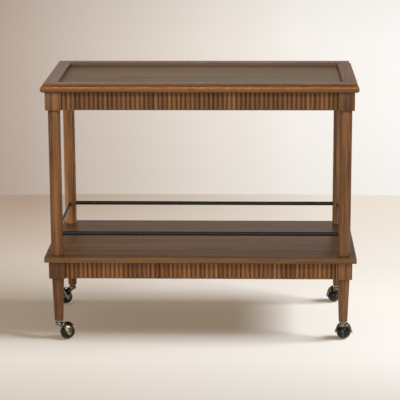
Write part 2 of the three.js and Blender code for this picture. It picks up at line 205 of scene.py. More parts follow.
class Shell:
    """Vertices and faces of one piece, with the wear and painted light of each vertex."""

    def __init__(self):
        self.points = []
        self.faces = []
        self.wear = []

    def add(self, point, wear=0.0):
        self.points.append(Vector(point))
        self.wear.append(wear)
        return len(self.points) - 1

    def ring(self, points):
        """Adds points given as (x, y, z, wear and painted light) and returns their numbers."""
        return [self.add(point[:3], point[3]) for point in points]

    def bridge(self, lower, upper):
        count = len(lower)
        for i in range(count):
            j = (i + 1) % count
            self.faces.append((lower[i], lower[j], upper[j], upper[i]))

    def loft(self, rings):
        """Joins rings of equally many points, from the lowest to the highest, and closes both ends."""
        numbers = [self.ring(ring) for ring in rings]
        for lower, upper in zip(numbers, numbers[1:]):
            self.bridge(lower, upper)
        self.faces += [tuple(numbers[0][::-1]), tuple(numbers[-1])]
        return self

    def moved(self, matrix):
        self.points = [matrix @ point for point in self.points]
        return self

    def mesh(self, name):
        mesh = bpy.data.meshes.new(name)
        mesh.from_pydata(self.points, [], self.faces)
        mesh.attributes.new("wear", "FLOAT", "POINT").data.foreach_set("value", self.wear)
        settle(mesh)
        return mesh


def settle(mesh):
    """Turns all faces outwards and smooths the shading except over crisp edges."""
    work = bmesh.new()
    work.from_mesh(mesh)
    bmesh.ops.recalc_face_normals(work, faces=work.faces)
    work.to_mesh(mesh)
    work.free()
    mesh.shade_smooth()
    mesh.set_sharp_from_angle(angle=SHARP_ANGLE)


def shift_tones(mesh, shifts):
    """Makes each face lighter or darker by a share of its tone."""
    mesh.attributes.new("tone_shift", "FLOAT", "FACE").data.foreach_set("value", shifts)


def add_object(name, data):
    """Puts an object in the scene, in place of the one that an earlier run of its operator left."""
    old = bpy.data.objects.get(name)
    if old:
        bpy.data.objects.remove(old)
    made = bpy.data.objects.new(name, data)
    bpy.context.scene.collection.objects.link(made)
    return made


def present(name, mesh, material, body, nodes):
    """Puts a finished piece in the scene, on its body and in the place of its nodes."""
    piece = add_object(name, mesh)
    mesh.materials.append(material)
    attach(piece, body)
    if nodes:
        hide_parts(*nodes)


def dress(node, material, bevel=0.0):
    """Gives a node of the frame its finish and, with a bevel, a small rounding of its edges."""
    piece = frame["nodes"][node]
    piece.data.materials.clear()
    piece.data.materials.append(material)
    if bevel:
        rounding = piece.modifiers.new("eased edges", "BEVEL")
        rounding.width = bevel
        rounding.segments = 2
        rounding.limit_method = "ANGLE"
        rounding.harden_normals = True


def round_ring(radius, height, count, wear=0.0):
    """Points of a circle about +Z, spaced so that they face the points of a cornered ring."""
    points = []
    for i in range(count):
        angle = math.tau * (i + 0.5) / count
        points.append((radius * math.cos(angle), radius * math.sin(angle), height, wear))
    return points


def cornered_ring(half_x, half_y, corner, height, count, wear=0.0):
    """Points of a rectangle about +Z with rounded corners, all of them on the corners."""
    each = count // 4
    points = []
    for quarter, (sign_x, sign_y) in enumerate(((1, 1), (-1, 1), (-1, -1), (1, -1))):
        for i in range(each):
            turn = i / (each - 1)
            angle = math.pi / 2 * (quarter + turn)
            x = sign_x * (half_x - corner) + corner * math.cos(angle)
            y = sign_y * (half_y - corner) + corner * math.sin(angle)
            points.append((x, y, height, max(wear, math.sin(math.pi * turn))))
    return points


def eased_rings(half_x, half_y, bottom, top, ease, count):
    """Rings of a rectangular block with all its edges rounded, from the bottom up."""
    rings = []
    for upper in (False, True):
        for i in range(EASE_STEPS + 1):
            angle = math.pi / 2 * (EASE_STEPS - i if upper else i) / EASE_STEPS
            inset = ease * (1 - math.sin(angle))
            rise = ease * (1 - math.cos(angle))
            height = top - rise if upper else bottom + rise
            corner = max(ease - inset, ease / 8)
            wear = math.sin(2 * angle)
            rings.append(cornered_ring(half_x - inset, half_y - inset, corner, height, count, wear))
    return rings


def round_rings(profile, count):
    """Rings about +Z from points (radius, height) or (radius, height, wear and painted light), from the
    bottom up.
    """
    return [round_ring(radius, height, count, *wear) for radius, height, *wear in profile]


def turned(profile, count):
    """A turned piece about +Z."""
    return Shell().loft(round_rings(profile, count))


def arc(centre, radius, start, end, steps, wear=0.0):
    """Points (x, y, wear and painted light) along an arc, its angles in degrees, with that value
    greatest at its middle.
    """
    points = []
    for i in range(steps + 1):
        angle = math.radians(start + (end - start) * i / steps)
        x = centre[0] + radius * math.cos(angle)
        y = centre[1] + radius * math.sin(angle)
        points.append((x, y, wear * math.sin(math.pi * i / steps)))
    return points


# Materials

def put(tree, kind, inputs=None, **settings):
    """Adds a node. An input is a value for its socket or the socket that feeds it."""
    made = tree.nodes.new(kind)
    for key, value in settings.items():
        setattr(made, key, value)
    for key, value in (inputs or {}).items():
        if isinstance(value, bpy.types.NodeSocket):
            tree.links.new(value, made.inputs[key])
        else:
            made.inputs[key].default_value = value
    return made


def maths(tree, operation, first, second, third=0.0, clamp=False):
    inputs = {0: first, 1: second, 2: third}
    return put(tree, "ShaderNodeMath", inputs, operation=operation, use_clamp=clamp).outputs[0]


def linear(tree, value, factor, offset):
    """The value times the factor, plus the offset."""
    return maths(tree, "MULTIPLY_ADD", value, factor, offset)


def mixed(tree, factor, first, second, mode="MIX"):
    inputs = {0: factor, 6: first, 7: second}
    return put(tree, "ShaderNodeMix", inputs, data_type="RGBA", blend_type=mode).outputs[2]


def ranged(tree, value, from_low, from_high, to_low=0.0, to_high=1.0):
    inputs = {0: value, 1: from_low, 2: from_high, 3: to_low, 4: to_high}
    return put(tree, "ShaderNodeMapRange", inputs).outputs[0]


def ramped(tree, value, stops):
    """A colour from a ramp, its stops given as (place, colour) in rising order."""
    ramp = put(tree, "ShaderNodeValToRGB", {0: value})
    elements = ramp.color_ramp.elements
    for element, (place, tone) in zip((elements[0], elements[1]), (stops[0], stops[-1])):
        element.position, element.color = place, opaque(tone)
    for place, tone in stops[1:-1]:
        elements.new(place).color = opaque(tone)
    return ramp.outputs[0]


def grey_ramped(tree, value, stops):
    """A grey from a ramp, its stops given as (place, brightness) in rising order."""
    return ramped(tree, value, [(place, (level,) * 3) for place, level in stops])


def noise(tree, vector, grains, detail=2.0, roughness=0.5):
    """Noise from 0 to 1 over the vector. Grains to the metre are one number, or one for each axis."""
    stretch = grains if isinstance(grains, tuple) else (grains,) * 3
    scaled = put(tree, "ShaderNodeVectorMath", {0: vector, 1: stretch}, operation="MULTIPLY")
    inputs = {"Vector": scaled.outputs[0], "Scale": 1.0, "Detail": detail, "Roughness": roughness}
    return put(tree, "ShaderNodeTexNoise", inputs).outputs[0]


def object_place(tree):
    """Where a point lies in its piece, in metres."""
    return put(tree, "ShaderNodeTexCoord").outputs["Object"]


def mesh_value(tree, name):
    """A number that the mesh holds for each vertex or face."""
    return put(tree, "ShaderNodeAttribute", attribute_name=name).outputs["Fac"]


def opaque(tone):
    return (*tone, 1.0)


def scaled_tone(tone, factors):
    return tuple(min(1.0, part * factor) for part, factor in zip(tone, factors))


def tinted(tone, factors):
    """A colour for a socket: the tone with its red, green and blue scaled."""
    return opaque(scaled_tone(tone, factors))


def new_material(name):
    material = bpy.data.materials.new(name)
    material.use_nodes = True
    material.node_tree.nodes.clear()
    return material, material.node_tree


BUMP_STRENGTH = 0.6


def finish_surface(tree, tone, roughness, height, depth, **sockets):
    """Joins tone, roughness and relief to the surface. Other sockets are given by name."""
    relief = {"Strength": BUMP_STRENGTH, "Distance": depth, "Height": height}
    bump = put(tree, "ShaderNodeBump", relief)
    inputs = {"Base Color": tone, "Roughness": roughness, "Normal": bump.outputs[0]}
    inputs.update({key.replace("_", " "): value for key, value in sockets.items()})
    surface = put(tree, "ShaderNodeBsdfPrincipled", inputs)
    put(tree, "ShaderNodeOutputMaterial", {"Surface": surface.outputs[0]})


# How the figure of walnut strays from its middle tone, in red, green and blue
DARK_WOOD, LIGHT_WOOD = (0.42, 0.36, 0.32), (1.6, 1.6, 1.6)
GOLDEN, REDDISH = (1.15, 1.22, 0.85), (1.0, 0.9, 1.15)
# The lighter, greyer tone below is for rubbed places and for painted highlights, and the darkest one
# for stain and for painted shade.
PORE, RUBBED_AND_HIGHLIGHT, STAIN_AND_SHADE = (0.2, 0.16, 0.12), (1.8, 1.95, 2.4), (0.2, 0.15, 0.11)

# How strongly growth rings, lanes and fibres show in the figure, and where its middle lies
RING_SHARE, LANE_SHARE, FIBRE_SHARE, FIGURE_MIDDLE = 0.3, 1.5, 0.8, 0.36

# How dark the pores are, and how deep they, the fibres and the growth rings lie in the surface
PORE_SHARE, PORE_DEPTH, FIBRE_HEIGHT, RING_HEIGHT, WOOD_RELIEF = 0.55, -1.1, 0.7, 0.12, 0.22 * MM

# What fibres, rubbing and a lighter tone add to the roughness
FIBRE_ROUGHNESS, RUBBED_ROUGHNESS, SHIFT_ROUGHNESS = 0.22, -0.45, 0.22

SWAY = 0.05
# How dark stain and painted shade make a place.
STAIN_AND_SHADE_STRENGTH = 0.85
RAW_ROUGHNESS = 0.68
GRAIN_TURNS = {"X": (0, 0, 0), "Y": (0, 0, -math.pi / 2), "Z": (0, math.pi / 2, 0)}


def growth_rings(tree, board, width):
    """Growth rings of that width about the X axis, bent a little as the trunk sways."""
    drift = linear(tree, noise(tree, board, (1.6, 7, 7)), SWAY, -SWAY / 2)
    bent = put(tree, "ShaderNodeVectorMath", {0: board, 1: drift}, operation="ADD").outputs[0]
    inputs = {
        "Vector": bent,
        "Scale": math.tau / (20 * width),
        "Distortion": 1.2,
        "Detail": 2.0,
        "Detail Scale": 0.6,
    }
    settings = {"wave_type": "RINGS", "rings_direction": "X", "wave_profile": "SAW"}
    return put(tree, "ShaderNodeTexWave", inputs, **settings).outputs[1]


def walnut(
    name, tone, grain, seed, wood, ring=6 * MM, heart=0.16, contrast=1.0, lanes=42,
    raw=False, shine=1.0, polish=0.0, fleck=0.4,
):
    """Stained walnut with growth rings, lanes, fibres, pores, rubbed edges and painted highlights, and
    stain and painted shade in hollows and under things.

    grain is the way that the grain runs, ring the width of a growth ring, heart how far off the
    tree's middle lies, and lanes how many bands of tone there are to the metre. shine is a factor
    for the gloss, polish what it takes off the roughness, and fleck how far the hue strays to
    yellow and to red.
    """
    material, tree = new_material(name)
    draw = random.Random(seed)
    cut = (draw.uniform(-3, 3), heart * draw.uniform(0.7, 1.3), heart * draw.uniform(0.4, 1.0))
    where = object_place(tree)
    lie = {"Vector": where, "Location": cut, "Rotation": GRAIN_TURNS[grain]}
    board = put(tree, "ShaderNodeMapping", lie).outputs[0]

    bands = noise(tree, board, (lanes / 30, lanes, lanes), 3, 0.55)
    fibre = noise(tree, board, (14, 750, 750), 3, 0.6)
    pores = noise(tree, board, (45, 2300, 2300))
    rings = growth_rings(tree, board, ring)
    ring_share = RING_SHARE * contrast
    figure = linear(tree, rings, ring_share, FIGURE_MIDDLE - ring_share / 2)
    figure = linear(tree, maths(tree, "SUBTRACT", bands, 0.5), LANE_SHARE * contrast, figure)
    figure = linear(tree, maths(tree, "SUBTRACT", fibre, 0.5), FIBRE_SHARE, figure)
    dark, light = scaled_tone(tone, DARK_WOOD), scaled_tone(tone, LIGHT_WOOD)
    figured = ramped(tree, figure, [(0.05, dark), (0.42, tone), (0.95, light)])

    shift = mesh_value(tree, "tone_shift")
    gain = {0: figured, "Scale": maths(tree, "ADD", shift, 1.0)}
    shifted = put(tree, "ShaderNodeVectorMath", gain, operation="SCALE").outputs[0]
    stray = noise(tree, board, (9, 210, 210))
    golden = ranged(tree, stray, 0.52, 0.72, 0.0, fleck)
    reddish = ranged(tree, stray, 0.48, 0.28, 0.0, fleck)
    hued = mixed(tree, golden, shifted, opaque(GOLDEN), "MULTIPLY")
    hued = mixed(tree, reddish, hued, opaque(REDDISH), "MULTIPLY")
    pored = ranged(tree, pores, 0.62, 0.74, 0.0, PORE_SHARE)
    coloured = mixed(tree, pored, hued, tinted(tone, PORE))

    # Above 0 the mesh value lightens a place for rubbing and for painted highlights, and below 0 it
    # darkens it for stain and for painted shade.
    painted_light_and_wear = mesh_value(tree, "wear")
    patchy = ranged(tree, noise(tree, where, 60, 3, 0.6), 0.35, 0.7)
    rubbed_and_highlight = maths(tree, "MULTIPLY", maths(tree, "MULTIPLY", painted_light_and_wear, patchy), wood.wear, clamp=True)
    coloured = mixed(tree, rubbed_and_highlight, coloured, tinted(tone, RUBBED_AND_HIGHLIGHT))
    stain_and_shade = maths(tree, "MULTIPLY", painted_light_and_wear, -STAIN_AND_SHADE_STRENGTH, clamp=True)
    coloured = mixed(tree, stain_and_shade, coloured, tinted(tone, STAIN_AND_SHADE))

    height = linear(tree, pored, PORE_DEPTH, maths(tree, "MULTIPLY", fibre, FIBRE_HEIGHT))
    height = linear(tree, rings, RING_HEIGHT, height)
    base = RAW_ROUGHNESS if raw else wood.roughness - polish
    rough = linear(tree, fibre, FIBRE_ROUGHNESS, base - FIBRE_ROUGHNESS / 2)
    rough = linear(tree, rubbed_and_highlight, RUBBED_ROUGHNESS, rough)
    rough = linear(tree, shift, SHIFT_ROUGHNESS, rough)
    gloss = wood.gloss * shine
    finish_surface(tree, coloured, rough, height, WOOD_RELIEF, Specular_IOR_Level=gloss)
    return material


DUSTY, DULL = (2.2, 2.1, 2.0), (0.6, 0.6, 0.6)
PAINT_RELIEF, BRASS_RELIEF, ZINC_RELIEF, RUBBER_RELIEF = 0.02 * MM, 0.03 * MM, 0.02 * MM, 0.03 * MM
RUBBER_GLOSS = 0.3


def rod_paint(metal, name, gloss):
    """Satin black powder coat with a faint orange peel."""
    material, tree = new_material(name)
    where = object_place(tree)
    peel = noise(tree, where, 900)
    cloud = noise(tree, where, 30, 3, 0.6)
    dusty = ranged(tree, cloud, 0.3, 0.75)
    tone = mixed(tree, dusty, opaque(metal.rod), tinted(metal.rod, DUSTY))
    rough = linear(tree, cloud, 0.12, 0.13)
    finish_surface(tree, tone, rough, peel, PAINT_RELIEF, Specular_IOR_Level=gloss)
    return material


def aged_brass(metal, name, rubbing):
    """Brass plating, bright on its edges and dark in its hollows. Less rubbing leaves it darker."""
    material, tree = new_material(name)
    where = object_place(tree)
    edge = put(tree, "ShaderNodeNewGeometry").outputs["Pointiness"]
    cloud = noise(tree, where, 110, 4, 0.65)
    speck = noise(tree, where, 900)
    patchy = ranged(tree, cloud, 0.3, 0.7, -0.5, 0.5)
    bright = maths(tree, "ADD", ranged(tree, edge, 0.45, 0.58), patchy)
    bright = maths(tree, "ADD", bright, rubbing, clamp=True)
    tone = mixed(tree, bright, opaque(metal.patina), opaque(metal.brass))
    rough = linear(tree, cloud, 0.22, 0.12)
    finish_surface(tree, tone, rough, speck, BRASS_RELIEF, Metallic=1.0)
    return material


def zinc_plate(metal):
    """Zinc plated steel with fine turning marks."""
    material, tree = new_material("zinc_plate")
    where = object_place(tree)
    marks = noise(tree, where, (60, 60, 2500))
    cloud = noise(tree, where, 80, 3, 0.6)
    bright = ranged(tree, cloud, 0.3, 0.7)
    tone = mixed(tree, bright, tinted(metal.zinc, DULL), opaque(metal.zinc))
    rough = linear(tree, cloud, 0.2, 0.22)
    finish_surface(tree, tone, rough, marks, ZINC_RELIEF, Metallic=1.0)
    return material


def ball_rubber(metal):
    """Hard black rubber, polished by use, with a little dust and a rubbed seam."""
    material, tree = new_material("ball_rubber")
    where = object_place(tree)
    cloud = noise(tree, where, 90, 4, 0.6)
    scuff = noise(tree, where, (1100, 500, 1100), 3, 0.6)
    dusty = ranged(tree, cloud, 0.45, 0.8)
    tone = mixed(tree, dusty, opaque(metal.rubber), tinted(metal.rubber, DUSTY))
    tone = mixed(tree, mesh_value(tree, "wear"), tone, opaque(metal.seam))
    rough = linear(tree, cloud, 0.24, 0.08)
    finish_surface(tree, tone, rough, scuff, RUBBER_RELIEF, Specular_IOR_Level=RUBBER_GLOSS)
    return material


# Tray

# Each side's rail has a tone of its own, partly the board's and partly painted light: lighter or darker
# by side as light and sheen fall on it.
RIM_TONES_AND_PAINTED_LIGHT = {"front": 0.88, "right": 0.75, "rear": 0.68, "left": 0.85}
RIM_SHINES = {"front": 0.8, "right": 0.4, "rear": 1.5, "left": 1.9}
RIM_POLISH = 0.06

# Wear on the rim's edges and a painted highlight on its nose, stain and painted shade in its cove,
# painted shade at the foot of the recess, and painted shade on its flats and on the walls of the recess
TOP_EDGE_WEAR, NOSE_HIGHLIGHT_AND_WEAR, UNDERSIDE_WEAR, RECESS_FOOT_SHADE = 0.1, 1.6, 0.5, -0.7
# Stain and painted shade in the cove's hollow, darker towards its depth.
COVE_SHADE_AND_STAIN, COVE_DEPTH_SHADE_AND_STAIN = -0.2, -0.3
# Painted shade: the rim's top flats are darker for the dim light on top, and the recess walls are
# darker for the shade in the recess.
FLAT_TOP_SHADE, LONG_WALL_SHADE, SHORT_WALL_SHADE = -0.38, -0.32, -0.5

# What lies further in than this from the nose, and above the tray's floor, is a wall of the recess
RECESS_MARGIN = 30 * MM


def side_turn(side):
    return Matrix.Rotation(math.radians(SIDES[side]), 4, "Z")


def rim_profile(shape):
    """Section of the rim: how far in from the nose, how far below the flat top, and the wear and
    painted light.
    """
    thickness = TRAY_TOP - TRAY_BOTTOM
    tongue_top = thickness - shape.tongue - GAP
    inner, nose = shape.rim_width, shape.nose
    foot = inner + shape.recess_lean
    shoulder = foot - shape.rabbet
    edge, arris = 1.5 * MM, 0.4 * MM
    cove_inset = shape.flat_inset - shape.cove
    nose_start = math.acos((nose - cove_inset) / nose)
    nose_drop = shape.quirk + shape.cove + nose * math.sin(nose_start)
    cove = arc((cove_inset, shape.quirk), shape.cove, 0, 90, 8, 1.0)
    return [
        *arc((inner - edge, edge), edge, 0, -90, 4, TOP_EDGE_WEAR),
        (shape.flat_inset + arris, 0, TOP_EDGE_WEAR),
        (shape.flat_inset, arris, TOP_EDGE_WEAR),
        # Stain and painted shade in the hollow of the cove.
        *[(x, y, COVE_SHADE_AND_STAIN + COVE_DEPTH_SHADE_AND_STAIN * hollow) for x, y, hollow in cove],
        # Painted highlight along the nose, partly rubbing: a lighter, greyer band where the overhead
        # light glances.
        *arc((nose, nose_drop), nose, math.degrees(nose_start) - 180, -180, 9, NOSE_HIGHLIGHT_AND_WEAR)[1:],
        *arc((nose, thickness - nose), nose, 180, 90, 10, UNDERSIDE_WEAR),
        (shoulder, thickness, 0),
        (shoulder, tongue_top, 0),
        # Painted shade in the corner at the foot of the recess wall.
        (foot, tongue_top, RECESS_FOOT_SHADE),
        (foot, TRAY_TOP - TRAY_FLOOR, RECESS_FOOT_SHADE),
    ]


def rim_rail(side, shape):
    """One side of the rim, its section swept along the side and mitred at both ends."""
    half_length, half_width = TRAY_HALF_X, TRAY_HALF_Y
    if side not in LONG_SIDES:
        half_length, half_width = half_width, half_length
    rings = []
    for end in (-1, 1):
        ring = []
        for inset, drop, wear in rim_profile(shape):
            x = end * (half_length - inset - GAP)
            ring.append((x, inset - half_width, TRAY_TOP - drop, wear))
        rings.append(ring)
    return Shell().loft(rings).moved(side_turn(side))


def rim_painted_shade(face):
    """The flats on top and the walls of the recess are made darker than the moulding: painted shade."""
    x, y, z = abs(face.center.x), abs(face.center.y), face.center.z
    if z > TRAY_TOP - GAP / 2:
        return FLAT_TOP_SHADE
    if z > TRAY_FLOOR and x < TRAY_HALF_X - RECESS_MARGIN and y < TRAY_HALF_Y - RECESS_MARGIN:
        return LONG_WALL_SHADE if y > x else SHORT_WALL_SHADE
    return 0.0


class BARCART_OT_tray(bpy.types.Operator):
    """Make the tray: its floor and the four mitred rails of its rim"""

    bl_idname = "bar_cart.tray"
    bl_label = "Tray"

    def execute(self, context):
        shape, wood = context.scene.bar_cart_shape, context.scene.bar_cart_wood
        floor = walnut(
            "tray_floor_walnut", wood.tray, "X", SEEDS["tray"], wood,
            ring=9 * MM, heart=0.5, contrast=0.8,
        )
        dress("tray_panel", floor)
        for number, side in enumerate(SIDES):
            grain = "X" if side in LONG_SIDES else "Y"
            tone = scaled_tone(wood.rim, (RIM_TONES_AND_PAINTED_LIGHT[side],) * 3)
            material = walnut(
                f"{side}_rim_walnut", tone, grain, SEEDS["rim"] + number, wood,
                ring=5 * MM, heart=0.12, shine=RIM_SHINES[side], polish=RIM_POLISH,
            )
            name = f"{side}_rim_rail"
            mesh = rim_rail(side, shape).mesh(name)
            shift_tones(mesh, [rim_painted_shade(face) for face in mesh.polygons])
            present(name, mesh, material, "cart", [f"tray_rim_{side}"])
        return {"FINISHED"}


# Aprons

APRON_TONES = {"upper": (0.84, 0.84, 0.87), "lower": (1.08, 1.03, 0.93)}
REED_STEPS = 12

# How far a reed's tone strays, and how much of it the next reed takes over
REED_STRAY, REED_CARRY = (-0.25, 0.2), 0.6

# A reed is rubbed and given a painted highlight on its crest, and has stain and painted shade, darkest
# from this share of its half width outwards
CREST_HIGHLIGHT_AND_WEAR, GROOVE_SHADE_AND_STAIN, GROOVE_START = 0.45, 0.95, 0.85


def reeded_board(length_along, bottom, top, front, back, shape, draw):
    """A board with upright reeds on its -Y side, and how much lighter or darker each face is."""
    count = max(1, round(length_along / shape.reed_pitch))
    pitch = length_along / count
    rise = shape.reed_rise
    radius = pitch ** 2 / (8 * rise) + rise / 2
    spread = math.degrees(math.asin(pitch / 2 / radius))
    # Each end of the board takes the groove's painted shade where it meets a block.
    outline = [(-length_along / 2, back, 0), (-length_along / 2, front + rise, -1)]
    for i in range(count):
        centre = ((i + 0.5) * pitch - length_along / 2, front + radius)
        for x, y, _ in arc(centre, radius, -90 - spread, -90 + spread, REED_STEPS)[1:]:
            off = 2 * abs(x - centre[0]) / pitch
            fall = min(1.0, off / GROOVE_START)
            # Painted highlight on each crest and painted shade in each groove, partly rubbing and
            # stain.
            outline.append((x, y, CREST_HIGHLIGHT_AND_WEAR - GROOVE_SHADE_AND_STAIN * fall * fall * (3 - 2 * fall)))
    outline.append((length_along / 2, back, 0))
    shell = Shell().loft([[(x, y, z, wear) for x, y, wear in outline] for z in (bottom, top)])
    tones = [draw.uniform(*REED_STRAY)]
    while len(tones) < count:
        tones.append(REED_CARRY * tones[-1] + draw.uniform(*REED_STRAY))
    face_tones = [0.0] + [tone for tone in tones for _ in range(REED_STEPS)]
    face_tones += [0.0] * (len(shell.faces) - len(face_tones))
    return shell, face_tones


def apron_mesh(name, side, level, shape, seed):
    """The visible board of one apron, between the blocks that it is tenoned into."""
    node, rear = f"{level}_apron_{side}", f"{level}_apron_rear"
    block = high("post_front_left" if level == "upper" else "foot_front_left")
    inner, crest = block.x, high(rear).y
    if side not in LONG_SIDES:
        inner, crest = block.y, high(f"{level}_apron_right").x
    thickness = high(rear).y - low(rear).y
    length_along = 2 * (abs(inner) - GAP)
    bottom, top = low(node).z, high(node).z
    shell, tones = reeded_board(
        length_along, bottom, top, -crest, thickness - crest, shape, random.Random(seed)
    )
    mesh = shell.moved(side_turn(side)).mesh(name)
    shift_tones(mesh, tones)
    return mesh


class BARCART_OT_aprons(bpy.types.Operator):
    """Make the eight reeded aprons under the tray and under the shelf"""

    bl_idname = "bar_cart.aprons"
    bl_label = "Reeded aprons"

    def execute(self, context):
        shape, wood = context.scene.bar_cart_shape, context.scene.bar_cart_wood
        for number, side in enumerate(SIDES):
            for place, (level, factors) in enumerate(APRON_TONES.items()):
                seed = SEEDS["apron"] + 2 * number + place
                name = f"{side}_{level}_reeds"
                material = walnut(
                    f"{name}_walnut", scaled_tone(wood.apron, factors), "Z", seed, wood,
                    ring=4 * MM, heart=0.1, contrast=0.8, lanes=90, fleck=1.0,
                )
                mesh = apron_mesh(name, side, level, shape, seed)
                present(name, mesh, material, "cart", [f"{level}_apron_{side}"])
        return {"FINISHED"}


# Posts, feet and shelf

RING_POINTS, SHELF_POINTS = 64, 32
# The front posts' own tones, and the rear posts painted much lighter and greyer: painted light and
# sheen where the tray keeps the light off them.
POST_TONES_AND_PAINTED_LIGHT = {
    "front_left": (0.95, 0.95, 0.94),
    "front_right": (0.91, 0.93, 0.97),
    "rear_left": (1.95, 2.05, 2.25),
    "rear_right": (1.4, 1.65, 2.2),
}
FOOT_TONES = {
    "front_left": (0.69, 0.64, 0.57),
    "front_right": (0.97, 1.0, 1.1),
    "rear_left": (1.1, 1.1, 1.1),
    "rear_right": (0.95, 0.95, 0.95),
}
UPPER_BLOCK_SHIFTS = {"front_left": 0.06, "front_right": -0.4, "rear_left": -0.35, "rear_right": -0.3}
LOWER_BLOCK_SHIFTS = {"front_left": -0.3, "front_right": -0.07, "rear_left": -0.05, "rear_right": 0.0}
# Painted light: the shelf's upright edges are made lighter than its top.
SHELF_EDGE_PAINTED_LIGHT = 0.55

# How far the blocks reach below the aprons, and how far the painted shade under them reaches down
BLOCK_DROP, SHADE_REACH = 0.5 * MM, 5 * MM
# Painted shade under each block, and a painted shadow round each post's foot where it stands in the
# shelf.
UNDER_BLOCK_SHADE, SEAT_SHADOW, SEAT_FADE_SHADOW = -0.9, -1.1, -0.8


def post_profile(leg, shape):
    """The round column, from its seat in the shelf up to the block."""
    seat, block = low(f"post_{leg}").z, low("upper_apron_front").z - BLOCK_DROP
    radius, edge = shape.column / 2, 0.6 * MM
    return [
        # Painted shadow where the post stands in the shelf.
        (radius - edge, seat, SEAT_SHADOW),
        (radius, seat + edge, SEAT_SHADOW),
        (radius, seat + 4 * MM, SEAT_FADE_SHADOW),
        (radius, seat + 7 * MM),
        (radius, block - SHADE_REACH),
        # Painted shade under the block.
        (radius, block, UNDER_BLOCK_SHADE),
    ]


def foot_profile(leg, shape):
    """The round, tapered foot, from its end up to the block."""
    bottom, block = low(f"foot_{leg}").z, low("lower_apron_front").z - BLOCK_DROP
    radius, end, chamfer = shape.foot_top / 2, shape.foot_end / 2, 1.2 * MM
    return [
        (end - chamfer, bottom),
        (end - 0.3 * chamfer, bottom + 0.3 * chamfer, 0.8),
        (end, bottom + chamfer, 0.4),
        (radius - 0.4 * MM, block - SHADE_REACH),
        # Painted shade under the lower block.
        (radius, block, UNDER_BLOCK_SHADE),
    ]


def leg_mesh(name, leg, node, profile, shape, shift):
    """A square block with eased edges and the turned part under it, in one piece."""
    centre, block = middle(f"post_{leg}"), profile[-1][1]
    half = (high(node).x - low(node).x) / 2
    rings = round_rings(profile, RING_POINTS)
    rings += eased_rings(half, half, block, high(node).z, shape.ease, RING_POINTS)
    mesh = Shell().loft(rings).moved(Matrix.Translation((centre.x, centre.y, 0))).mesh(name)
    shift_tones(mesh, [shift * (face.center.z > block + BLOCK_DROP) for face in mesh.polygons])
    return mesh


class BARCART_OT_legs(bpy.types.Operator):
    """Make the four posts and the four tapered feet"""

    bl_idname = "bar_cart.legs"
    bl_label = "Posts and feet"

    def execute(self, context):
        shape, wood = context.scene.bar_cart_shape, context.scene.bar_cart_wood
        kinds = (
            ("post", post_profile, POST_TONES_AND_PAINTED_LIGHT, UPPER_BLOCK_SHIFTS),
            ("foot", foot_profile, FOOT_TONES, LOWER_BLOCK_SHIFTS),
        )
        for number, leg in enumerate(LEGS):
            for kind, profile, tones, shifts in kinds:
                node, name = f"{kind}_{leg}", f"{leg}_turned_{kind}"
                tone = scaled_tone(wood.post, tones[leg])
                material = walnut(
                    f"{leg}_{kind}_walnut", tone, "Z", SEEDS[kind] + number, wood,
                    ring=5 * MM, heart=0.07, lanes=110,
                )
                mesh = leg_mesh(name, leg, node, profile(leg, shape), shape, shifts[leg])
                present(name, mesh, material, "cart", [node])
        return {"FINISHED"}


class BARCART_OT_shelf(bpy.types.Operator):
    """Make the lower shelf with its rounded edges"""

    bl_idname = "bar_cart.shelf"
    bl_label = "Lower shelf"

    def execute(self, context):
        shape, wood = context.scene.bar_cart_shape, context.scene.bar_cart_wood
        corner, bottom = high("lower_shelf"), low("lower_shelf").z
        rings = eased_rings(corner.x, corner.y, bottom, corner.z, 1.3 * shape.ease, SHELF_POINTS)
        material = walnut(
            "shelf_walnut", wood.shelf, "X", SEEDS["shelf"], wood,
            ring=9 * MM, heart=0.45, contrast=0.8, shine=0.85, polish=0.08,
        )
        mesh = Shell().loft(rings).mesh("shelf_slab")
        # Painted light on the shelf's upright edges.
        shifts = [SHELF_EDGE_PAINTED_LIGHT * (abs(face.normal.z) < 0.5) for face in mesh.polygons]
        shift_tones(mesh, shifts)
        present("shelf_slab", mesh, material, "cart", ["lower_shelf"])
        return {"FINISHED"}


# Gallery rods

ROD_GLOSSES = {"front": 0.12, "right": 0.18, "rear": 0.26, "left": 0.18}
ROD_POINTS, ROD_EDGE = 40, 0.5 * MM


class BARCART_OT_rods(bpy.types.Operator):
    """Make the four black gallery rods above the shelf"""

    bl_idname = "bar_cart.rods"
    bl_label = "Gallery rods"

    def execute(self, context):
        shape, metal = context.scene.bar_cart_shape, context.scene.bar_cart_metal
        for side in SIDES:
            material = rod_paint(metal, f"{side}_rod_paint", ROD_GLOSSES[side])
            node, name = f"gallery_rod_{side}", f"{side}_rod"
            span = high(node) - low(node)
            half, radius = max(span.x, span.y) / 2, shape.rod / 2
            profile = [
                (radius - ROD_EDGE, -half),
                (radius, ROD_EDGE - half),
                (radius, half - ROD_EDGE),
                (radius - ROD_EDGE, half),
            ]
            lie = Matrix.Rotation(math.pi / 2, 4, "Y" if span.x > span.y else "X")
            place = Matrix.Translation(middle(node)) @ lie
            mesh = turned(profile, ROD_POINTS).moved(place).mesh(name)
            present(name, mesh, material, "cart", [node])
        return {"FINISHED"}


# Corner braces, bolts and screws

SCREW_RADIUS, SCREW_HEIGHT, SCREW_POINTS = 4 * MM, 1.6 * MM, 20
SCREW_REACH = 13 * MM
BRACE_BEVEL = 0.8 * MM


def screw_head():
    """A plain pan head, about +Z."""
    profile = [(SCREW_RADIUS, 0), (SCREW_RADIUS, 0.4 * SCREW_HEIGHT)]
    for angle in (0.5, 0.95, 1.25):
        height = SCREW_HEIGHT * (0.4 + 0.6 * math.sin(angle))
        profile.append((SCREW_RADIUS * math.cos(angle), height))
    return turned(profile, SCREW_POINTS)


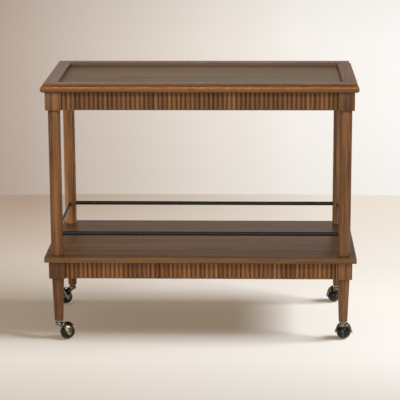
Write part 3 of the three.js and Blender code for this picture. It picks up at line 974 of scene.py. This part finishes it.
class BARCART_OT_braces(bpy.types.Operator):
    """Finish the corner braces and the hanger bolts, and put the braces' screws in"""

    bl_idname = "bar_cart.braces"
    bl_label = "Braces, bolts and screws"

    def execute(self, context):
        wood, metal = context.scene.bar_cart_wood, context.scene.bar_cart_metal
        raw = walnut(
            "raw_brace_wood", wood.raw, "X", SEEDS["brace"], wood,
            ring=7 * MM, heart=0.3, contrast=0.7, raw=True,
        )
        steel = zinc_plate(metal)
        flip = Matrix.Rotation(math.pi, 4, "X")
        for leg in LEGS:
            dress(f"hanger_bolt_{leg}", steel)
            for level in ("upper", "lower"):
                node = f"{level}_brace_{leg}"
                dress(node, raw, BRACE_BEVEL)
                centre, under = middle(node), low(node).z
                slope = -1 if centre.x * centre.y > 0 else 1
                for number, reach in enumerate((-SCREW_REACH, SCREW_REACH)):
                    place = Matrix.Translation((centre.x + reach, centre.y + slope * reach, under))
                    mesh = screw_head().moved(place @ flip).mesh("brace_screw")
                    present(f"{node}_screw_{number + 1}", mesh, steel, "cart", [])
        return {"FINISHED"}


# Casters, each about its stem with the ball trailing along +X

# The stems' brass is made much darker: painted shade for the shaded gap under each socket's collar.
BRASS_RUBBING, STEM_PAINTED_SHADE = 0.05, -0.7
BALL_RADIUS = high("caster_ball_front_left").z / 2
HOOD_RADIUS, HOOD_RISE, HOOD_WALL = 24.4 * MM, 30.5 * MM, 1.7 * MM
HOOD_AROUND, HOOD_DOWN = 96, 26
HALVINGS = 40
VISOR, SADDLE = 19.5 * MM, 17 * MM
CHEEK_HALF, CHEEK_END = 12.5 * MM, 5.5 * MM
BOSS_RADIUS, BOSS_EDGE, BOSS_HEIGHT = 11 * MM, 1.2 * MM, 7 * MM
CAST_GRAIN, CAST_PASSES = 0.45 * MM, 5
NECK_POINTS, PIN_POINTS, AXLE_POINTS, BALL_POINTS, BOSS_POINTS = 28, 48, 40, 96, 64


def stem_and_ball(leg):
    """Where the stem and the ball of a caster stand, as (x, y, z)."""
    return JOINTS[f"swivel_{leg}"]["pos_m"], JOINTS[f"roll_{leg}"]["pos_m"]


def caster_place(leg):
    """Where a caster stands, turned the way that it is parked."""
    stem, ball = stem_and_ball(leg)
    angle = math.atan2(ball[1] - stem[1], ball[0] - stem[0])
    return Matrix.Translation((stem[0], stem[1], 0)) @ Matrix.Rotation(angle, 4, "Z")


def trail():
    """How far the ball stands behind the stem."""
    stem, ball = stem_and_ball("front_left")
    return math.hypot(ball[0] - stem[0], ball[1] - stem[1])


def hood_edge(x):
    """Height of the hood's lower edge over the axle, at a distance x ahead of it."""
    corner = VISOR if x > 0 else SADDLE
    x = abs(x)
    if x >= CHEEK_HALF:
        return corner
    lean = math.atan2(corner, CHEEK_HALF) - math.acos(CHEEK_END / math.hypot(corner, CHEEK_HALF))
    end_x, end_z = CHEEK_END * math.cos(lean), CHEEK_END * math.sin(lean)
    if x > end_x:
        return end_z + (x - end_x) * (corner - end_z) / (CHEEK_HALF - end_x)
    return -math.sqrt(CHEEK_END ** 2 - x ** 2)


def hood_limit(turn, radius, rise):
    """The polar angle at which the hood's surface ends, looking from its top along a direction."""
    from_angle, to_angle = 0.0, math.pi
    for _ in range(HALVINGS):
        angle = (from_angle + to_angle) / 2
        inside = rise * math.cos(angle) > hood_edge(radius * math.sin(angle) * math.cos(turn))
        from_angle, to_angle = (angle, to_angle) if inside else (from_angle, angle)
    return from_angle


def hood_skin(shell, radius, rise):
    """One skin of the hood, added from its top down. Returns the numbers of its lower edge."""
    turns = [math.tau * i / HOOD_AROUND for i in range(HOOD_AROUND)]
    limits = [hood_limit(turn, radius, rise) for turn in turns]
    top = shell.add((0, 0, rise))
    rows = []
    for row in range(1, HOOD_DOWN + 1):
        ring = []
        for turn, limit in zip(turns, limits):
            angle = limit * row / HOOD_DOWN
            flat = radius * math.sin(angle)
            ring.append((flat * math.cos(turn), flat * math.sin(turn), rise * math.cos(angle), 0))
        rows.append(shell.ring(ring))
    for i in range(HOOD_AROUND):
        shell.faces.append((top, rows[0][i], rows[0][(i + 1) % HOOD_AROUND]))
    for upper, lower in zip(rows, rows[1:]):
        shell.bridge(upper, lower)
    return rows[-1]


def hood_shell():
    """The domed hood with its visor and its two tapered cheeks, about the ball's middle."""
    shell = Shell()
    outer = hood_skin(shell, HOOD_RADIUS, HOOD_RISE)
    inner = hood_skin(shell, HOOD_RADIUS - HOOD_WALL, HOOD_RISE - HOOD_WALL)
    shell.bridge(outer, inner)
    return shell


def neck_section(bottom, top, half_width, corner):
    """Points (y, z) of an upright section through the neck."""
    ring = cornered_ring(half_width, (top - bottom) / 2, corner, 0, NECK_POINTS)
    return [(y, (top + bottom) / 2 + z) for y, z, _, _ in ring]


def neck_shell(boss_top, boss_bottom, reach):
    """The neck, from inside the boss down into the wall of the hood."""
    # Each section's x, bottom, top and half width
    stations = (
        (-0.62 * BOSS_RADIUS, boss_bottom + 0.5 * MM, boss_top - 1.0 * MM, 5.0 * MM),
        (-0.2 * BOSS_RADIUS, boss_bottom - 2.6 * MM, boss_top - 0.8 * MM, 6.6 * MM),
        (0.25 * BOSS_RADIUS, boss_bottom - 6.4 * MM, boss_top - 0.8 * MM, 7.3 * MM),
    )
    rings = []
    for x, bottom, top, half_width in stations:
        section = neck_section(bottom, top, half_width, 0.55 * half_width)
        rings.append([(x, y, z, 0) for y, z in section])
    wall, wall_rise = HOOD_RADIUS - HOOD_WALL / 2, HOOD_RISE - HOOD_WALL / 2
    bottom, top = BALL_RADIUS + SADDLE + 0.6 * MM, boss_top - 2.2 * MM
    end = []
    for y, z in neck_section(bottom, top, 7.8 * MM, 5 * MM):
        depth = 1 - (y / wall) ** 2 - ((z - BALL_RADIUS) / wall_rise) ** 2
        end.append((reach - wall * math.sqrt(max(depth, 0.0)), y, z, 0))
    return Shell().loft([*rings, end])


def joined(shells):
    whole = Shell()
    for shell in shells:
        start = len(whole.points)
        whole.points += shell.points
        whole.wear += shell.wear
        whole.faces += [tuple(number + start for number in face) for face in shell.faces]
    return whole


def cast_mesh(shell, name):
    """One smooth casting from overlapping closed shells, with small fillets where they meet."""
    rough = add_object(name, shell.mesh(name))
    remesh = rough.modifiers.new("cast", "REMESH")
    remesh.mode = "VOXEL"
    remesh.voxel_size = CAST_GRAIN
    smooth = rough.modifiers.new("tumbled", "SMOOTH")
    smooth.factor = 0.5
    smooth.iterations = CAST_PASSES
    bpy.context.view_layer.update()
    finished = rough.evaluated_get(bpy.context.evaluated_depsgraph_get())
    mesh = bpy.data.meshes.new_from_object(finished)
    bpy.data.objects.remove(rough)
    mesh.name = name
    mesh.shade_smooth()
    mesh.set_sharp_from_angle(angle=math.pi)
    return mesh


def housing_mesh():
    """The caster's housing: boss, neck, and hood with its cheeks."""
    boss_top = high("caster_housing_front_left").z
    boss_bottom = boss_top - BOSS_HEIGHT
    boss = [
        (BOSS_RADIUS - BOSS_EDGE, boss_bottom),
        (BOSS_RADIUS - 0.3 * BOSS_EDGE, boss_bottom + 0.3 * BOSS_EDGE),
        (BOSS_RADIUS, boss_bottom + BOSS_EDGE),
        (BOSS_RADIUS, boss_top - BOSS_EDGE),
        (BOSS_RADIUS - 0.3 * BOSS_EDGE, boss_top - 0.3 * BOSS_EDGE),
        (BOSS_RADIUS - BOSS_EDGE, boss_top),
    ]
    hood = hood_shell().moved(Matrix.Translation((trail(), 0, BALL_RADIUS)))
    neck = neck_shell(boss_top, boss_bottom, trail())
    return cast_mesh(joined([turned(boss, BOSS_POINTS), hood, neck]), "caster_housing_cast")


def ball_profile():
    """A ball with flat hub faces and a fine moulding seam round its middle."""
    seam_rise, seam_half, hub, bore, steps = 0.3 * MM, 0.8 * MM, 20.5 * MM, 2.8 * MM, 22
    radius, crest = BALL_RADIUS - seam_rise, BALL_RADIUS - GAP
    start = math.degrees(math.asin(hub / radius))
    turn = math.degrees(math.asin(seam_half / radius))
    return [
        (bore, -hub),
        *arc((0, 0), radius, -start, -turn, steps),
        (crest, -0.5 * seam_half, 1),
        (crest, 0.5 * seam_half, 1),
        *arc((0, 0), radius, turn, start, steps),
        (bore, hub),
    ]


def axle_profile():
    """A pin with a domed, riveted head at each end, outside the cheeks."""
    inside, sunk, rise = HOOD_RADIUS + 0.7 * MM, 1.2 * MM, 1.3 * MM
    head, pin = 4.5 * MM, 2.5 * MM
    upper = [(pin, inside - sunk), (head, inside - sunk)]
    for angle in (0.0, 0.35, 0.7, 1.05, 1.35):
        upper.append((head * math.cos(angle), inside + rise * math.sin(angle)))
    return [(radius, -height) for radius, height in reversed(upper)] + upper


def stem_profile(leg):
    """The pin of the swivel, with a shoulder ring under the socket."""
    node = f"caster_stem_{leg}"
    radius, ring, edge = 4 * MM, 9 * MM, 0.5 * MM
    ring_top = low(f"caster_socket_{leg}").z - 0.3 * MM
    ring_bottom = ring_top - 3.6 * MM
    return [
        (radius, low(node).z),
        (radius, ring_bottom),
        (ring - edge, ring_bottom),
        (ring, ring_bottom + edge),
        (ring, ring_top - edge),
        (ring - edge, ring_top),
        (radius, ring_top),
        (radius, high(node).z),
    ]


def socket_profile(leg):
    """The collar under the foot, and the sleeve in the foot above it."""
    node = f"caster_socket_{leg}"
    bottom, top = low(node).z, high(node).z
    bore, sleeve, collar = 5 * MM, 5.5 * MM, 11.5 * MM
    lower_edge, bevel, upper_edge = 1.2 * MM, 0.35 * MM, 0.8 * MM
    collar_top = low(f"foot_{leg}").z - GAP
    return [
        (bore, bottom),
        (collar - lower_edge, bottom),
        (collar - bevel, bottom + bevel),
        (collar, bottom + lower_edge),
        (collar, collar_top - upper_edge),
        (collar - upper_edge, collar_top),
        (sleeve, collar_top),
        (sleeve, top),
    ]


class BARCART_OT_casters(bpy.types.Operator):
    """Make the four hooded ball casters: sockets, stems, housings, axles and balls"""

    bl_idname = "bar_cart.casters"
    bl_label = "Ball casters"

    def execute(self, context):
        metal = context.scene.bar_cart_metal
        brass = aged_brass(metal, "aged_brass", BRASS_RUBBING)
        # Painted shade: the stems get darkened brass for the shaded gap under the socket's collar.
        dark = aged_brass(metal, "dark_brass", STEM_PAINTED_SHADE)
        zinc, rubber = zinc_plate(metal), ball_rubber(metal)
        casting = housing_mesh()
        across = Matrix.Translation((trail(), 0, BALL_RADIUS)) @ Matrix.Rotation(math.pi / 2, 4, "X")
        for leg in LEGS:
            place = caster_place(leg)
            lie = place @ across
            housing = casting.copy()
            housing.transform(place)
            socket = turned(socket_profile(leg), PIN_POINTS).moved(place).mesh("collared_socket")
            stem = turned(stem_profile(leg), PIN_POINTS).moved(place).mesh("shouldered_stem")
            axle = turned(axle_profile(), AXLE_POINTS).moved(lie).mesh("riveted_axle")
            ball = turned(ball_profile(), BALL_POINTS).moved(lie).mesh("rubber_ball")
            turning, rolling = f"caster_{leg}", f"ball_{leg}"
            for kind, name, mesh, material, body, slot in (
                ("socket", "collared_socket", socket, zinc, "cart", "zinc_steel"),
                ("stem", "shouldered_stem", stem, dark, turning, "aged_brass"),
                ("housing", "cast_housing", housing, brass, turning, "aged_brass"),
                ("axle", "riveted_axle", axle, brass, turning, "aged_brass"),
                ("ball", "rubber_ball", ball, rubber, rolling, "ball_rubber"),
            ):
                present(f"{leg}_{name}", mesh, material, body, [f"caster_{kind}_{leg}"])
        return {"FINISHED"}


# Stage: camera, floor, background and lamps

CAMERA_PLACE = (0.1604, -5.0892, 1.5863)
CAMERA_PITCH, CAMERA_YAW, CAMERA_ROLL = 13.3, 1.88, -0.27
CAMERA_LENS, SENSOR, CAMERA_REACH = 155.19, 36.0, 60

# Where the floor's tones and painted light change from left to right and from near to far, and
# how bright its painted light is from its front to its back
FLOOR_POINTS = 160
FLOOR_ACROSS, FLOOR_BACK, FLOOR_DEPTH = (-0.75, 0.45), (-0.1, 1.6), (-0.8, 1.2)
FLOOR_LEVELS = (
    (0.0, 0.68), (0.06, 0.77), (0.21, 0.96), (0.3, 1.0),
    (0.5, 1.03), (0.6, 0.99), (0.72, 0.93), (1.0, 0.9),
)

# The same for the wall from left to right, and from its foot up to the ceiling
WALL_ACROSS, WALL_UP, WALL_TOP = (-0.15, 0.085), (-0.3, 0.5), (-0.08, 0.08)
WALL_LEVELS = (
    (0.0, 0.9), (0.09, 0.93), (0.155, 1.0), (0.2, 1.0),
    (0.245, 0.91), (0.38, 0.88), (0.65, 0.6), (1.0, 0.3),
)

# Azimuth and elevation in degrees, then distance, width and height. Azimuth 0 is the camera's side.
FLOOR_LAMP = (80, 38, 9.0, 4.3, 3.4)
CART_LAMPS = {
    "front": (-14, 13, 4.2, 4.0, 2.2),
    "back": (176, 50, 4.2, 0.6, 0.45),
    "left": (-90, 35, 4.2, 1.6, 1.6),
    "right": (90, 35, 4.2, 1.6, 1.6),
    "spark": (35, 40, 3.5, 0.5, 0.4),
    "strip": (0, 48, 3.0, 1.9, 0.35),
}
WHITE, WARM = (1, 1, 1), (1.0, 0.96, 0.91)


def stage_camera():
    data = bpy.data.cameras.new("camera")
    data.lens, data.sensor_width, data.clip_end = CAMERA_LENS, SENSOR, CAMERA_REACH
    camera = add_object("camera", data)
    yaw = Matrix.Rotation(math.radians(CAMERA_YAW), 4, "Z")
    pitch = Matrix.Rotation(math.radians(90 - CAMERA_PITCH), 4, "X")
    roll = Matrix.Rotation(math.radians(CAMERA_ROLL), 4, "Z")
    camera.matrix_world = Matrix.Translation(CAMERA_PLACE) @ (yaw @ pitch) @ roll
    bpy.context.scene.camera = camera


def stage_lamp(name, place, power, tone, floor_state):
    """A soft rectangular lamp that looks at the middle of the cart.

    floor_state says whether it lights the floor alone (INCLUDE) or all but the floor (EXCLUDE).
    """
    azimuth, elevation, distance, width, height = place
    data = bpy.data.lights.new(name, "AREA")
    data.shape, data.size, data.size_y = "RECTANGLE", width, height
    data.energy, data.color = power, tone
    lamp = add_object(name, data)
    around, up = math.radians(azimuth), math.radians(elevation)
    level = math.cos(up)
    away = Vector((math.sin(around) * level, -math.cos(around) * level, math.sin(up)))
    lamp.location = Vector((0, 0, TRAY_TOP / 2)) + away * distance
    lamp.rotation_mode = "QUATERNION"
    lamp.rotation_quaternion = away.to_track_quat("Z", "Y")
    lamp.visible_camera = False
    lit = bpy.data.collections.new(f"lit by {name}")
    lit.objects.link(bpy.data.objects["studio_floor"])
    lit.collection_objects[0].light_linking.link_state = floor_state
    lamp.light_linking.receiver_collection = lit


def seen_ray(tree):
    """1 for rays that the camera sees, straight, by reflection or through glass, and 0 for the rest."""
    path = put(tree, "ShaderNodeLightPath")
    seen = maths(tree, "MAXIMUM", path.outputs["Is Camera Ray"], path.outputs["Is Glossy Ray"])
    return maths(tree, "MAXIMUM", seen, path.outputs["Is Transmission Ray"])


def floor_material(stage):
    """Pale floor with painted light, darker far to the left and brighter round the cart, with a glow
    that lifts its shadows where they are seen.
    """
    material, tree = new_material("studio_floor")
    axes = put(tree, "ShaderNodeSeparateXYZ", {0: object_place(tree)})
    across = ranged(tree, axes.outputs[0], *FLOOR_ACROSS)
    back = ranged(tree, axes.outputs[1], *FLOOR_BACK)
    near = mixed(tree, across, opaque(stage.floor_near_left), opaque(stage.floor_near_right))
    far = mixed(tree, across, opaque(stage.floor_far_left), opaque(stage.floor_far_right))
    # Painted light: brighter round the cart, darker towards the floor's front and back.
    brightness = grey_ramped(tree, ranged(tree, axes.outputs[1], *FLOOR_DEPTH), FLOOR_LEVELS)
    shaded = mixed(tree, 1.0, mixed(tree, back, near, far), brightness, "MULTIPLY")
    surface = put(tree, "ShaderNodeBsdfDiffuse", {"Color": shaded})
    glow_inputs = {"Color": opaque(stage.floor_glow), "Strength": seen_ray(tree)}
    glow = put(tree, "ShaderNodeEmission", glow_inputs)
    both = put(tree, "ShaderNodeAddShader", {0: surface.outputs[0], 1: glow.outputs[0]})
    put(tree, "ShaderNodeOutputMaterial", {"Surface": both.outputs[0]})
    return material


def stage_floor(stage):
    """A pale floor with straight, softly rounded sides."""
    points = []
    for i in range(FLOOR_POINTS):
        angle = math.tau * i / FLOOR_POINTS
        c, s = math.cos(angle), math.sin(angle)
        size = stage.floor_reach / (c ** 4 + s ** 4) ** 0.25
        points.append((size * c, size * s, 0))
    mesh = bpy.data.meshes.new("studio_floor")
    mesh.from_pydata(points, [], [tuple(range(FLOOR_POINTS))])
    mesh.materials.append(floor_material(stage))
    add_object("studio_floor", mesh)


def stage_world(stage):
    """Even light from all around, and a pale wall that only the camera and reflections see."""
    world = bpy.data.worlds.new("studio")
    bpy.context.scene.world = world
    world.use_nodes = True
    tree = world.node_tree
    tree.nodes.clear()
    direction = put(tree, "ShaderNodeTexCoord").outputs["Generated"]
    axes = put(tree, "ShaderNodeSeparateXYZ", {0: direction})
    wall_stops = [
        (0.0, stage.wall_left), (0.5, stage.wall_middle),
        (0.74, stage.wall_beside), (1.0, stage.wall_right),
    ]
    sides = ramped(tree, ranged(tree, axes.outputs[0], *WALL_ACROSS), wall_stops)
    brightness = grey_ramped(tree, ranged(tree, axes.outputs[2], *WALL_UP), WALL_LEVELS)
    overhead = ranged(tree, axes.outputs[2], *WALL_TOP)
    sides_to_top = mixed(tree, overhead, sides, opaque(stage.ceiling))
    wall_tone = mixed(tree, 1.0, sides_to_top, brightness, "MULTIPLY")
    wall = put(tree, "ShaderNodeBackground", {"Color": wall_tone, "Strength": 1.0})
    fill = put(tree, "ShaderNodeBackground", {"Color": opaque(stage.fill), "Strength": 1.0})
    shown_inputs = {0: seen_ray(tree), 1: fill.outputs[0], 2: wall.outputs[0]}
    shown = put(tree, "ShaderNodeMixShader", shown_inputs)
    put(tree, "ShaderNodeOutputWorld", {"Surface": shown.outputs[0]})


class BARCART_OT_stage(bpy.types.Operator):
    """Make the camera, the pale floor, the background and the lamps"""

    bl_idname = "bar_cart.stage"
    bl_label = "Stage"

    def execute(self, context):
        stage = context.scene.bar_cart_stage
        context.scene.view_settings.view_transform = "Standard"
        stage_camera()
        stage_floor(stage)
        stage_world(stage)
        stage_lamp("floor_lamp", FLOOR_LAMP, stage.floor_lamp, WHITE, "INCLUDE")
        for name, place in CART_LAMPS.items():
            stage_lamp(f"{name}_lamp", place, getattr(stage, name), WARM, "EXCLUDE")
        return {"FINISHED"}


# Panel and registration

class BARCART_PT_panel(bpy.types.Panel):
    """Lists the pieces of the bar cart and their settings"""

    bl_idname = "BARCART_PT_panel"
    bl_label = "Bar cart"
    bl_space_type = "VIEW_3D"
    bl_region_type = "UI"
    bl_category = "Bar cart"

    def draw(self, context):
        for operator in OPERATORS:
            self.layout.operator(operator.bl_idname)
        for name, group in GROUPS.items():
            box = self.layout.box()
            for setting in group.__annotations__:
                box.prop(getattr(context.scene, name), setting)


GROUPS = {
    "bar_cart_shape": CartShape,
    "bar_cart_wood": CartWood,
    "bar_cart_metal": CartMetal,
    "bar_cart_stage": CartStage,
}
OPERATORS = (
    BARCART_OT_stage,
    BARCART_OT_tray,
    BARCART_OT_aprons,
    BARCART_OT_legs,
    BARCART_OT_shelf,
    BARCART_OT_rods,
    BARCART_OT_braces,
    BARCART_OT_casters,
)


def register():
    for name, group in GROUPS.items():
        bpy.utils.register_class(group)
        setattr(bpy.types.Scene, name, bpy.props.PointerProperty(type=group))
    for operator in OPERATORS:
        bpy.utils.register_class(operator)
    bpy.utils.register_class(BARCART_PT_panel)


def unregister():
    bpy.utils.unregister_class(BARCART_PT_panel)
    for operator in reversed(OPERATORS):
        bpy.utils.unregister_class(operator)
    for name, group in reversed(GROUPS.items()):
        delattr(bpy.types.Scene, name)
        bpy.utils.unregister_class(group)


def main():
    register()
    bpy.ops.bar_cart.stage()
    bpy.ops.bar_cart.tray()
    bpy.ops.bar_cart.aprons()
    bpy.ops.bar_cart.legs()
    bpy.ops.bar_cart.shelf()
    bpy.ops.bar_cart.rods()
    bpy.ops.bar_cart.braces()
    bpy.ops.bar_cart.casters()


if __name__ == "__main__":
    main()
